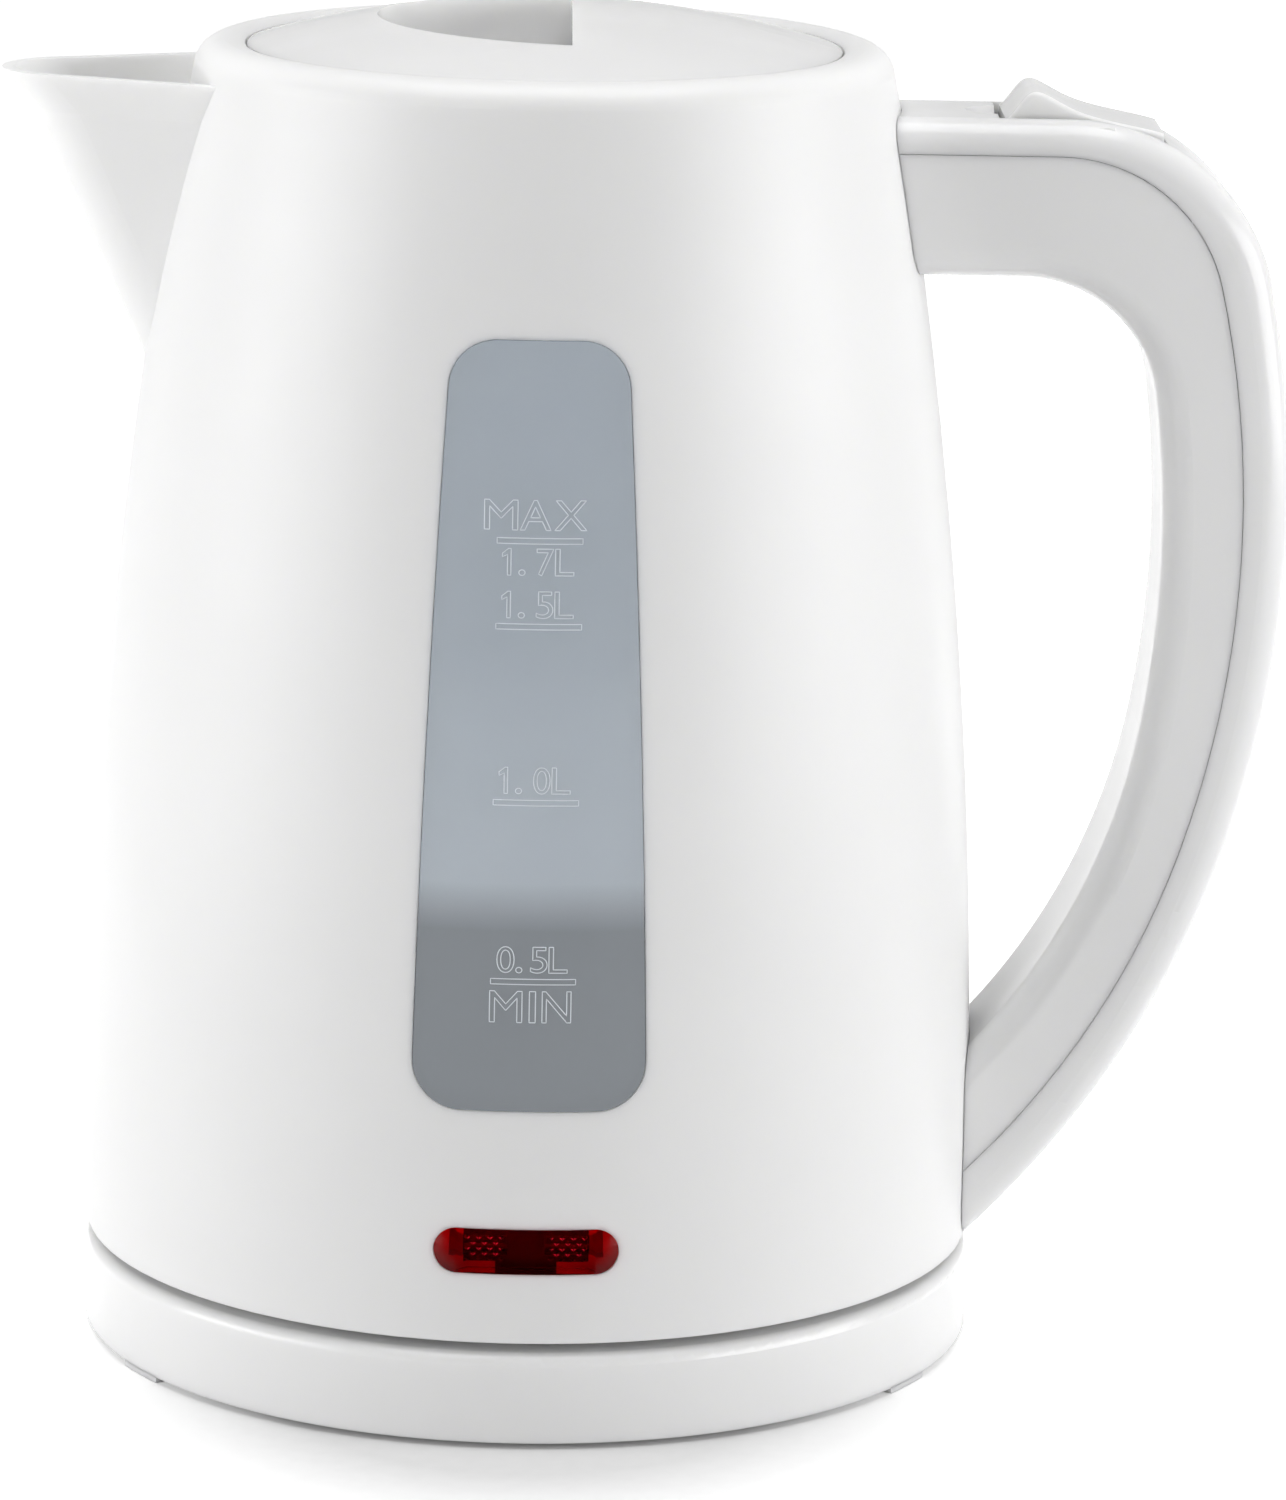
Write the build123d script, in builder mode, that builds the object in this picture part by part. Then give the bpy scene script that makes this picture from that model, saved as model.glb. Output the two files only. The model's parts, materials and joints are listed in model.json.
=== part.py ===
"""Electric kettle: a jug with a handle, a pull-off lid and a rocker switch, on a round power base.

Origin at the middle of the base where it stands, +Z up, +X towards the handle, -X towards the
spout and -Y towards the side with the water window. All sizes are in millimetres.
"""
import os
from math import asin, cos, radians, sin, sqrt

from build123d import *

os.makedirs("parts", exist_ok=True)

# Clearances
moving_gap = 0.4  # between pieces that move past each other
seat_gap = 0.3  # under a piece that rests on another body
fit_gap = 0.1  # around a piece that is fixed in place
pin_gap = 0.05  # around a turning pin, on the radius
bearing_gap = 0.08  # around the socket that the jug turns on

# Power base
base_radius = 77.5
base_top = 16.2
base_wall = 2.2
base_edge_round = 2.0
plateau_radius = 62.0
foot_height = 1.0
foot_width = 11.0
foot_depth = 6.0
foot_peg_radius = 2.0
foot_angles = (32, 148, 212, 328)
bottom_thickness = 2.0
base_screw_circle = 50.0
gland_width = 12.0
gland_height = 8.0
gland_depth = 9.0
cord_bore_radius = 3.0

# Connector between base and jug
post_radius = 15.0
post_rise = 17.8
post_flange = 4.0
groove_inner = 6.5
groove_outer = 11.5
groove_sink = 1.7
well_radius = 4.2
earth_pin_radius = 1.6
contact_thickness = 0.7
contact_height = 7.0
socket_wall = 2.2
socket_roof = 2.0
blade_radius = 9.0
blade_thickness = 1.6

# Jug
jug_seam = 2.0
jug_radius = 77.15
straight_height = 11.8
neck_radius = 59.35
jug_height = 202.2
jug_wall = 2.5
collar_round = 5.0
mouth_rim_width = 3.64
mouth_drop = 0.9
ledge_depth = 3.4
ledge_thickness = 2.2
ledge_width = 3.2

# Spout: one rounded V section, carried up along a slant, with a flared lip
spout_drop = 1.7
spout_reach = 29.95
spout_lean = 0.443
spout_length = 68.7
spout_tip_radius = 13.5
spout_half_angle = 22.0
spout_wall = 2.2
lip_height = 6.6
lip_flare = 2.7
spout_sink = 12.35
channel_depth = 9.4
filter_width = 26.0
filter_height = 26.0
filter_depth = 24.4
filter_thickness = 2.0
filter_border = 3.0
mesh_pitch = 2.5
mesh_hole = 1.7
mesh_thickness = 0.6

# Window and lamp in the front wall
window_rise = 39.7
window_depth_below_neck = 36.5
window_half_bottom = 19.3
window_half_top = 14.3
window_side_bow = 0.6
window_corner = 8.0
window_thickness = 3.2
lamp_rise = 15.7
lamp_length = 30.4
lamp_width = 7.6
lens_depth = 5.4
lamp_holder_depth = 7.0
bulb_radius = 1.6
bulb_length = 9.0

# Heater and underside of the jug
heater_rise = 32.8
plate_thickness = 1.0
flange_lap = 3.0
flange_thickness = 2.5
seal_lip = 1.5
clamp_thickness = 1.8
clamp_lap = 5.0
boss_radius = 2.8
diffuser_inset = 4.0
diffuser_thickness = 2.5
element_inset = 14.0
element_radius = 3.6
element_gap_angle = 50.0
cold_pin_radius = 2.0
cold_pin_length = 9.0
cold_pin_angle = 5.0
control_radius = 28.0
disc_radius = 6.0
disc_thickness = 0.5
disc_circle = 19.0
bottom_cover_rise = 0.4
bottom_cover_thickness = 2.2

# Handle, drawn in the X-Z plane; its curves stand off from the widest part of the jug
handle_depth = 6.4
handle_foot_rise = 0.4
handle_width = 31.0
handle_wall = 2.2
handle_round = 5.0
handle_root = 20.0
handle_foot_run = 12.0
parting_gap = 0.1
foot_hole_rise = 23.4
loom_radius = 2.0
loom_rise = 13.4
steam_depth = 15.0
duct_radius = 4.4
duct_wall = 1.2
duct_length = 8.2
steam_block_width = 17.0
steam_block_height = 13.0

# Rocker switch on top of the handle
pivot_stand_off = 15.85
pivot_depth = 5.0
rocker_width = 20.0
rocker_front_reach = 15.1
rocker_back_reach = 11.6
hump_height = 4.4
rocker_pin_radius = 1.5
rocker_edge_round = 0.8
rocker_end_gap = 1.2
scoop_radius = 12.0
scoop_depth = 1.2
lever_stand_off = 10.85
lever_depth = 14.0
lever_width = 8.0
lever_hub_radius = 3.0
lever_pin_radius = 1.2
cheek_thickness = 2.0

# Lid
lid_rise = 7.4
lid_wall = 2.2
pocket_margin = 17.4
pocket_wall_x = 4.5
pocket_sink = 4.37
pocket_undercut = 5.0
grip_lip = 3.0
liner_height = 11.3
liner_wall = 2.0
liner_flange = 2.0
lid_seal_rise = 5.0
lid_seal_section = 2.4
lid_boss_radius = 3.0

# Screws
screw_radius = 1.4
screw_head_radius = 2.6
screw_head_height = 1.8
screw_slot = 0.6

# How a solid sits on its place
FROM_BELOW = (Align.CENTER, Align.CENTER, Align.MIN)
FROM_ABOVE = (Align.CENTER, Align.CENTER, Align.MAX)
FROM_JUG = (Align.MIN, Align.CENTER, Align.MIN)

# Sizes that follow from the ones above: heights first
plate_top = foot_height + bottom_thickness
post_top = base_top + post_rise
groove_floor = base_top - groove_sink
jug_bottom = base_top + jug_seam
straight_top = jug_bottom + straight_height
neck_height = jug_bottom + jug_height
ledge_top = neck_height - ledge_depth
spout_rim = neck_height - spout_drop
spout_start = spout_rim - spout_length
channel_top = neck_height - channel_depth
filter_centre = neck_height - filter_depth
window_bottom = jug_bottom + window_rise
window_top = neck_height - window_depth_below_neck
lamp_height = jug_bottom + lamp_rise
heater_top = jug_bottom + heater_rise
flange_bottom = heater_top + plate_thickness
bottom_cover_base = jug_bottom + bottom_cover_rise
handle_top = neck_height - handle_depth
handle_foot = jug_bottom + handle_foot_rise
handle_foot_hole = handle_foot + foot_hole_rise
loom_height = handle_foot + loom_rise
steam_height = handle_top - steam_depth
pivot_z = handle_top - pivot_depth
lever_z = handle_top - lever_depth
liner_bottom = ledge_top + seat_gap - liner_height
lid_seal_height = liner_bottom + lid_seal_rise

# Sizes that follow: the jug's wall, and what stands around it or inside it
wall_rise = neck_height - straight_top
wall_draw = jug_radius - neck_radius
wall_arc = (wall_rise ** 2 + wall_draw ** 2) / (2 * wall_draw)
neck_lean = asin(wall_rise / wall_arc)
crest_radius = neck_radius - collar_round * cos(neck_lean)
collar_top = neck_height + collar_round * (1 - sin(neck_lean))
mouth_rim = collar_top - mouth_drop
mouth_radius = crest_radius - mouth_rim_width
inner_floor_radius = jug_radius - jug_wall
spout_tip = neck_radius + spout_reach
spout_back = neck_radius - spout_sink
boss_circle = inner_floor_radius - boss_radius - seat_gap
seal_outer = boss_circle - boss_radius - seat_gap
plate_radius = seal_outer - seal_lip
flange_inner = plate_radius - flange_lap
clamp_inner = plate_radius - clamp_lap
diffuser_radius = clamp_inner - diffuser_inset
element_circle = diffuser_radius - element_inset
pivot_x = jug_radius + pivot_stand_off
lever_x = jug_radius + lever_stand_off
rocker_front = pivot_x - rocker_front_reach
rocker_back = pivot_x + rocker_back_reach
lid_radius = mouth_radius - moving_gap
bore_radius = mouth_radius - ledge_width
socket_inner = post_radius + moving_gap
socket_outer = socket_inner + socket_wall
socket_roof_z = post_top + moving_gap + seat_gap
diffuser_bottom = heater_top - plate_thickness - fit_gap - diffuser_thickness
control_top = diffuser_bottom - disc_thickness - 4 * fit_gap
plate_bottom = heater_top - plate_thickness
seal_bottom = plate_bottom - seal_lip
clamp_top = seal_bottom - fit_gap
clamp_bottom = clamp_top - clamp_thickness
plateau_top = bottom_cover_base - seat_gap
half_handle = handle_width / 2
handle_drop = handle_top - handle_foot
pocket_radius = lid_radius - pocket_margin
pocket_floor = mouth_rim - pocket_sink


def wall_radius(height, inset=0.0):
    """Radius of the jug's outer wall at a height, or of a curve inset from it."""
    rise = max(height - straight_top, 0)
    return jug_radius - wall_arc + sqrt((wall_arc - inset) ** 2 - rise ** 2)


def turned(points):
    """A closed profile of (radius, height) corners, to be revolved about Z."""
    with BuildSketch(Plane.XZ) as profile:
        with BuildLine():
            Polyline(*points, close=True)
        make_face()
    return profile.sketch


def jug_space(inset, low, high):
    """Profile of all that lies inside the jug's wall curve between two heights."""
    middle = (max(low, straight_top) + high) / 2
    with BuildSketch(Plane.XZ) as profile:
        with BuildLine():
            bottom = Line((0, low), (wall_radius(low, inset), low))
            start = bottom @ 1
            if low < straight_top:
                start = Line(start, (wall_radius(low, inset), straight_top)) @ 1
            end = (wall_radius(high, inset), high)
            side = ThreePointArc(start, (wall_radius(middle, inset), middle), end)
            top = Line(side @ 1, (0, high))
            Line(top @ 1, bottom @ 0)
        make_face()
    return profile.sketch


def spout_section(height, inset=0.0, flare=0.0, back=spout_back):
    """The rounded V of the spout at one height, seen from above."""
    half = radians(spout_half_angle)
    radius = spout_tip_radius - inset
    tip = -spout_tip + spout_lean * (spout_rim - height) - flare
    centre = tip + spout_tip_radius
    tangent = Vector(centre - radius * sin(half), radius * cos(half))
    back_half = tangent.Y + (-back - tangent.X) * sin(half) / cos(half)
    with BuildSketch(Plane.XY.offset(height)) as section:
        with BuildLine():
            nose = ThreePointArc((tangent.X, tangent.Y), (centre - radius, 0), (tangent.X, -tangent.Y))
            side = Line(nose @ 1, (-back, -back_half))
            rear = Line(side @ 1, (-back, back_half))
            Line(rear @ 1, nose @ 0)
        make_face()
    return section.sketch


def window_outline(margin):
    """The tapered window seen from the front, grown or shrunk by a margin."""
    low = window_bottom - margin
    high = window_top + margin
    wide = window_half_bottom + margin
    narrow = window_half_top + margin
    middle = ((wide + narrow) / 2 + window_side_bow, (low + high) / 2)
    with BuildSketch(Plane.XZ) as outline:
        with BuildLine():
            base = Line((-wide, low), (wide, low))
            right = ThreePointArc(base @ 1, middle, (narrow, high))
            head = Line(right @ 1, (-narrow, high))
            ThreePointArc(head @ 1, (-middle[0], middle[1]), base @ 0)
        make_face()
        fillet(outline.vertices(), window_corner + margin)
    return outline.sketch


def lamp_outline(margin):
    """The lamp's rounded bar seen from the front."""
    with BuildSketch(Plane.XZ) as outline:
        with Locations((0, lamp_height)):
            SlotOverall(lamp_length + 2 * margin, lamp_width + 2 * margin)
    return outline.sketch


def add_screws(places, head_z, tip_z):
    """Slotted pan-head screws pointing up, with the underside of each head at head_z."""
    with Locations(*[(x, y, head_z - screw_head_height) for x, y in places]):
        Cylinder(screw_head_radius, screw_head_height, align=FROM_BELOW)
        Box(2 * screw_head_radius, screw_slot, screw_slot, align=FROM_BELOW, mode=Mode.SUBTRACT)
    with Locations(*[(x, y, head_z) for x, y in places]):
        Cylinder(screw_radius, tip_z - head_z, align=FROM_BELOW)


def on_circle(radius, angles):
    """Points on a circle about the origin, at angles in degrees."""
    return [(radius * cos(radians(angle)), radius * sin(radians(angle))) for angle in angles]


def finish(builder, name):
    """Label a finished piece and write it."""
    builder.part.label = name
    export_step(builder.part, f"parts/{name}.step")


# Base cover: the white shell with a raised plateau that carries the jug
base_boss_places = on_circle(base_screw_circle, (90, 210, 330))
base_inner_radius = base_radius - base_wall
with BuildPart() as base_cover:
    with BuildSketch(Plane.XZ) as shell_profile:
        with BuildLine():
            Polyline(
                (post_radius + fit_gap, base_top - base_wall),
                (post_radius + fit_gap, plateau_top),
                (plateau_radius, plateau_top),
                (plateau_radius + base_wall, base_top),
                (base_radius, base_top),
                (base_radius, foot_height),
                (base_inner_radius, foot_height),
                (base_inner_radius, base_top - base_wall),
                close=True,
            )
        make_face()
        fillet(shell_profile.vertices().sort_by(Axis.X)[-2:].sort_by(Axis.Y)[-1], base_edge_round)
    revolve(axis=Axis.Z)
    boss_length = base_top - base_wall - plate_top
    with Locations(*[(x, y, plate_top) for x, y in base_boss_places]):
        Cylinder(boss_radius, boss_length, align=FROM_BELOW)
        Cylinder(screw_radius + fit_gap, boss_length - base_wall, align=FROM_BELOW, mode=Mode.SUBTRACT)
    gland_slot = gland_width + 2 * fit_gap
    with Locations((0, base_radius - base_wall / 2, foot_height)):
        Box(gland_slot, 2 * base_wall, gland_height + fit_gap, align=FROM_BELOW, mode=Mode.SUBTRACT)
finish(base_cover, "base_cover")

# Base bottom: the plate that closes the base
foot_circle = base_inner_radius - fit_gap - 2 * foot_peg_radius
with BuildPart() as base_bottom:
    with Locations((0, 0, foot_height)):
        Cylinder(base_inner_radius - fit_gap, bottom_thickness, align=FROM_BELOW)
    with Locations(*[(x, y, foot_height) for x, y in on_circle(foot_circle, foot_angles)]):
        Cylinder(foot_peg_radius + fit_gap, bottom_thickness, align=FROM_BELOW, mode=Mode.SUBTRACT)
    with Locations(*[(x, y, foot_height) for x, y in base_boss_places]):
        Cylinder(screw_head_radius + fit_gap, screw_slot, align=FROM_BELOW, mode=Mode.SUBTRACT)
        Cylinder(screw_radius + fit_gap, bottom_thickness, align=FROM_BELOW, mode=Mode.SUBTRACT)
    with Locations((0, base_inner_radius, foot_height)):
        Box(gland_slot, 2 * gland_depth, bottom_thickness, align=FROM_BELOW, mode=Mode.SUBTRACT)
finish(base_bottom, "base_bottom")

# Base feet: four tabs under the rim, each with a peg
with BuildPart() as base_feet:
    for angle in foot_angles:
        tab_place = Location((base_radius - foot_depth / 2, 0, 0))
        with Locations(Location((0, 0, 0), (0, 0, angle)) * tab_place):
            Box(foot_depth, foot_width, foot_height, align=FROM_BELOW)
        with Locations((*on_circle(foot_circle, (angle,))[0], 0)):
            Cylinder(foot_peg_radius, plate_top, align=FROM_BELOW)
    Cylinder(base_radius, 2 * plate_top, mode=Mode.INTERSECT)
finish(base_feet, "base_feet")

# Base screws: heads under the plate, between the feet
with BuildPart() as base_screws:
    add_screws(base_boss_places, foot_height + screw_slot, base_top - 2.5 * base_wall)
    with Locations((0, 0, foot_height - screw_head_height)):
        Cylinder(base_radius, screw_head_height - foot_height / 2, align=FROM_BELOW, mode=Mode.SUBTRACT)
finish(base_screws, "base_screws")

# Cord gland: the inlet for the mains lead, at the back of the base
with BuildPart() as cord_gland:
    with Locations((0, base_radius - gland_depth, foot_height + fit_gap)):
        gland_align = (Align.CENTER, Align.MIN, Align.MIN)
        Box(gland_width, gland_depth - fit_gap, gland_height - fit_gap, align=gland_align)
    with BuildSketch(Plane.XZ) as cord_hole:
        with Locations((0, foot_height + gland_height / 2)):
            Circle(cord_bore_radius)
    extrude(amount=-2 * base_radius, mode=Mode.SUBTRACT)
    Cylinder(base_radius, 4 * base_top, mode=Mode.INTERSECT)
finish(cord_gland, "cord_gland")

# Base connector: the post with a ring groove and a well for the earth pin
with BuildPart() as base_connector:
    flange_top = base_top - base_wall - fit_gap
    revolve(turned([
        (0, plate_top),
        (post_radius + post_flange, plate_top),
        (post_radius + post_flange, flange_top),
        (post_radius, flange_top),
        (post_radius, post_top),
        (groove_outer, post_top),
        (groove_outer, groove_floor),
        (groove_inner, groove_floor),
        (groove_inner, post_top),
        (well_radius, post_top),
        (well_radius, groove_floor),
        (0, groove_floor),
    ]), axis=Axis.Z)
finish(base_connector, "base_connector")

# Base contacts: earth pin and two rings on the groove's walls
with BuildPart() as base_contacts:
    outer_ring = groove_outer - fit_gap
    inner_ring = groove_inner + fit_gap
    with Locations((0, 0, groove_floor)):
        Cylinder(outer_ring, contact_height, align=FROM_BELOW)
        Cylinder(outer_ring - contact_thickness, contact_height, align=FROM_BELOW, mode=Mode.SUBTRACT)
        Cylinder(inner_ring + contact_thickness, contact_height, align=FROM_BELOW)
        Cylinder(inner_ring, contact_height, align=FROM_BELOW, mode=Mode.SUBTRACT)
        Cylinder(earth_pin_radius, post_top - groove_floor - seat_gap, align=FROM_BELOW)
finish(base_contacts, "base_contacts")

# Jug socket: the round sleeve that drops over the post
with BuildPart() as jug_socket:
    blade_bottom = groove_floor + contact_height / 2
    revolve(turned([
        (socket_inner, bottom_cover_base),
        (socket_outer, bottom_cover_base),
        (socket_outer, socket_roof_z + socket_roof),
        (0, socket_roof_z + socket_roof),
        (0, socket_roof_z),
        (blade_radius - blade_thickness / 2, socket_roof_z),
        (blade_radius - blade_thickness / 2, blade_bottom),
        (blade_radius + blade_thickness / 2, blade_bottom),
        (blade_radius + blade_thickness / 2, socket_roof_z),
        (socket_inner, socket_roof_z),
    ]), axis=Axis.Z)
finish(jug_socket, "jug_socket")

# Body shell: turned wall with collar, mouth ledge and heater flange, joined by the spout
boss_places = on_circle(boss_circle, range(30, 390, 60))
with BuildPart() as body_shell:
    lip_start = spout_rim - lip_height
    loft([spout_section(spout_start), spout_section(lip_start)], ruled=True)
    loft([spout_section(lip_start), spout_section(spout_rim, flare=lip_flare)], ruled=True)
    channel = [spout_section(spout_start, spout_wall), spout_section(lip_start, spout_wall)]
    loft(channel, ruled=True, mode=Mode.SUBTRACT)
    lip_channel = [channel[1], spout_section(spout_rim, spout_wall, lip_flare)]
    loft(lip_channel, ruled=True, mode=Mode.SUBTRACT)
    with BuildSketch(Plane.XZ) as outside:
        with BuildLine():
            skirt = Line((jug_radius, jug_bottom), (jug_radius, straight_top))
            side = TangentArc(skirt @ 1, (neck_radius, neck_height), tangent=skirt % 1)
            bead = TangentArc(side @ 1, (crest_radius, collar_top), tangent=side % 1)
            dip = TangentArc(bead @ 1, (mouth_radius, mouth_rim), tangent=bead % 1)
            mouth = Line(dip @ 1, (mouth_radius, ledge_top))
            Polyline(mouth @ 1, (0, ledge_top), (0, jug_bottom), skirt @ 0)
        make_face()
    revolve(axis=Axis.Z)
    chamber = jug_space(jug_wall, flange_bottom + flange_thickness, channel_top)
    revolve(chamber, axis=Axis.Z, mode=Mode.SUBTRACT)
    revolve(turned([
        (0, channel_top - fit_gap),
        (wall_radius(channel_top, jug_wall), channel_top - fit_gap),
        (wall_radius(channel_top, jug_wall), channel_top),
        (bore_radius, ledge_top - ledge_thickness),
        (bore_radius, ledge_top),
        (0, ledge_top),
    ]), axis=Axis.Z, mode=Mode.SUBTRACT)
    revolve(turned([
        (0, jug_bottom),
        (inner_floor_radius, jug_bottom),
        (inner_floor_radius, flange_bottom),
        (flange_inner, flange_bottom),
        (flange_inner, flange_bottom + flange_thickness),
        (0, flange_bottom + flange_thickness),
    ]), axis=Axis.Z, mode=Mode.SUBTRACT)
    with Locations(*[(x, y, clamp_top + fit_gap) for x, y in boss_places]):
        Cylinder(boss_radius, flange_bottom - clamp_top - fit_gap, align=FROM_BELOW)
        Cylinder(screw_radius + fit_gap, flange_bottom - clamp_top, align=FROM_BELOW, mode=Mode.SUBTRACT)
    # The way from the water to the spout goes through the wall under the collar
    spout_foot = spout_rim - (spout_tip - wall_radius(filter_centre)) / spout_lean
    through = [spout_section(spout_foot + spout_wall, spout_wall), spout_section(channel_top, spout_wall)]
    loft(through, ruled=True, mode=Mode.SUBTRACT)
    extrude(window_outline(fit_gap), amount=2 * jug_radius, mode=Mode.SUBTRACT)
    extrude(lamp_outline(fit_gap), amount=2 * jug_radius, mode=Mode.SUBTRACT)
    with BuildSketch(Plane.YZ) as handle_side_holes:
        with Locations((0, steam_height)):
            Circle(duct_radius + fit_gap)
        with Locations((0, loom_height)):
            Circle(loom_radius + 2 * fit_gap)
        with Locations((0, handle_foot_hole)):
            Circle(screw_radius + fit_gap)
    extrude(amount=2 * jug_radius, mode=Mode.SUBTRACT)
finish(body_shell, "body_shell")

# Water window: a clear pane flush with the wall, a little thicker than it
with BuildPart() as water_window:
    pane_low = window_bottom - window_corner
    pane_high = window_top + window_corner
    revolve(jug_space(0, pane_low, pane_high), axis=Axis.Z)
    revolve(jug_space(window_thickness, pane_low, pane_high), axis=Axis.Z, mode=Mode.SUBTRACT)
    extrude(window_outline(0), amount=2 * jug_radius, mode=Mode.INTERSECT)
finish(water_window, "water_window")

# Lamp lens: curved with the wall in front, flat behind
lens_back = jug_radius - lens_depth
with BuildPart() as lamp_lens:
    extrude(lamp_outline(0), amount=2 * jug_radius)
    with Locations((0, 0, lamp_height)):
        Cylinder(jug_radius, 2 * lamp_width, mode=Mode.INTERSECT)
        Box(2 * jug_radius, 2 * lens_back, 2 * lamp_width, mode=Mode.SUBTRACT)
finish(lamp_lens, "lamp_lens")

# Lamp holder: a tray behind the lens with a trough for each bulb
holder_front = -(lens_back - fit_gap)
bulb_y = holder_front + bulb_radius + fit_gap
bulb_places = [(side * lamp_length / 4, bulb_y, lamp_height) for side in (-1, 1)]
with BuildPart() as lamp_holder:
    with Locations((0, holder_front, lamp_height)):
        Box(lamp_length, lamp_holder_depth, lamp_width, align=(Align.CENTER, Align.MIN, Align.CENTER))
    with Locations(*[Location(place, (0, 90, 0)) for place in bulb_places]):
        Cylinder(bulb_radius + fit_gap, bulb_length + 2 * fit_gap, mode=Mode.SUBTRACT)
    with Locations(*bulb_places):
        trough = 2 * (bulb_radius + fit_gap)
        trough_align = (Align.CENTER, Align.MAX, Align.CENTER)
        Box(bulb_length + 2 * fit_gap, trough, trough, align=trough_align, mode=Mode.SUBTRACT)
finish(lamp_holder, "lamp_holder")

# Lamp bulbs: two small neon tubes lying in the holder
with BuildPart() as lamp_bulbs:
    with Locations(*[Location(place, (0, 90, 0)) for place in bulb_places]):
        Cylinder(bulb_radius, bulb_length)
finish(lamp_bulbs, "lamp_bulbs")

# Spout filter: a flat frame leaning with the wall, just inside the spout's opening
filter_lean = asin((filter_centre - straight_top) / wall_arc)
filter_top_radius = wall_radius(filter_centre + filter_height / 2, jug_wall)
filter_reach = sqrt(filter_top_radius ** 2 - (filter_width / 2) ** 2)
filter_origin = (-filter_reach + seat_gap - filter_height / 2 * sin(filter_lean), 0, filter_centre)
filter_plane = Plane(filter_origin, x_dir=(0, 1, 0), z_dir=(cos(filter_lean), 0, -sin(filter_lean)))
mesh_width = filter_width - 2 * filter_border
mesh_height = filter_height - 2 * filter_border
with BuildPart() as spout_filter:
    with BuildSketch(filter_plane):
        RectangleRounded(filter_width, filter_height, filter_border)
        Rectangle(mesh_width, mesh_height, mode=Mode.SUBTRACT)
    extrude(amount=filter_thickness)
    with BuildSketch(filter_plane.offset((filter_thickness - mesh_thickness) / 2)):
        Rectangle(mesh_width + filter_border, mesh_height + filter_border)
    extrude(amount=mesh_thickness, mode=Mode.SUBTRACT)
finish(spout_filter, "spout_filter")

# Filter mesh: a thin sheet with a grid of holes, held in the frame's groove
with BuildPart() as filter_mesh:
    with BuildSketch(filter_plane.offset((filter_thickness - mesh_thickness) / 2)):
        mesh_edge = filter_border - 2 * fit_gap
        Rectangle(mesh_width + mesh_edge, mesh_height + mesh_edge)
        columns = int(mesh_width / mesh_pitch)
        rows = int(mesh_height / mesh_pitch)
        with GridLocations(mesh_pitch, mesh_pitch, columns, rows):
            Rectangle(mesh_hole, mesh_hole, mode=Mode.SUBTRACT)
    extrude(amount=mesh_thickness)
finish(filter_mesh, "filter_mesh")

# Heater plate: the steel floor of the water chamber
with BuildPart() as heater_plate:
    with Locations((0, 0, plate_bottom)):
        Cylinder(plate_radius, plate_thickness, align=FROM_BELOW)
finish(heater_plate, "heater_plate")

# Heater seal: a channel ring gripping the edge of the plate
with BuildPart() as heater_seal:
    seal_top = flange_bottom - fit_gap
    seal_inner = plate_radius - (seal_outer - plate_radius)
    revolve(turned([
        (seal_inner, seal_bottom),
        (seal_outer, seal_bottom),
        (seal_outer, seal_top),
        (seal_inner, seal_top),
        (seal_inner, heater_top + fit_gap),
        (plate_radius + fit_gap, heater_top + fit_gap),
        (plate_radius + fit_gap, plate_bottom - fit_gap),
        (seal_inner, plate_bottom - fit_gap),
    ]), axis=Axis.Z)
finish(heater_seal, "heater_seal")

# Heater clamp: the ring that presses plate and seal up to the flange
with BuildPart() as heater_clamp:
    with Locations((0, 0, clamp_bottom)):
        Cylinder(inner_floor_radius - seat_gap, clamp_thickness, align=FROM_BELOW)
        Cylinder(clamp_inner, clamp_thickness, align=FROM_BELOW, mode=Mode.SUBTRACT)
    with Locations(*[(x, y, clamp_bottom) for x, y in boss_places]):
        Cylinder(screw_radius + fit_gap, clamp_thickness, align=FROM_BELOW, mode=Mode.SUBTRACT)
finish(heater_clamp, "heater_clamp")

# Heater screws: every other boss holds the clamp, the rest hold the bottom cover
clamp_screw_places = boss_places[0::2]
cover_screw_places = boss_places[1::2]
with BuildPart() as heater_screws:
    add_screws(clamp_screw_places, clamp_bottom, flange_bottom - seat_gap)
finish(heater_screws, "heater_screws")

# Heater diffuser: the plate that spreads the element's heat
with BuildPart() as heater_diffuser:
    with Locations((0, 0, diffuser_bottom)):
        Cylinder(diffuser_radius, diffuser_thickness, align=FROM_BELOW)
finish(heater_diffuser, "heater_diffuser")

# Heating element: an open ring of tube with a cold pin at each end, the gap towards the spout
element_z = diffuser_bottom - fit_gap - element_radius
with BuildPart() as heating_element:
    first_end = 180 + element_gap_angle / 2
    with BuildLine() as element_path:
        CenterArc((0, 0, element_z), element_circle, first_end, 360 - element_gap_angle)
    with BuildSketch(Plane(element_path.line @ 0, z_dir=element_path.line % 0)):
        Circle(element_radius)
    sweep()
    pin_angles = (first_end + cold_pin_angle, first_end - element_gap_angle - cold_pin_angle)
    pin_places = on_circle(element_circle, pin_angles)
    with Locations(*[(x, y, element_z) for x, y in pin_places]):
        Cylinder(cold_pin_radius, element_radius + cold_pin_length, align=FROM_ABOVE)
finish(heating_element, "heating_element")

# Control unit: the boil-dry block around the socket
with BuildPart() as control_unit:
    bore_top = socket_roof_z + socket_roof + moving_gap
    revolve(turned([
        (socket_outer + bearing_gap, bottom_cover_base),
        (control_radius, bottom_cover_base),
        (control_radius, control_top),
        (0, control_top),
        (0, bore_top),
        (socket_outer + bearing_gap, bore_top),
    ]), axis=Axis.Z)
finish(control_unit, "control_unit")

# Bimetal discs: two snap discs between the control unit and the diffuser
with BuildPart() as bimetal_discs:
    with Locations(*[(x, y, control_top + fit_gap) for x, y in on_circle(disc_circle, (90, 270))]):
        Cylinder(disc_radius, disc_thickness, align=FROM_BELOW)
finish(bimetal_discs, "bimetal_discs")

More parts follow.
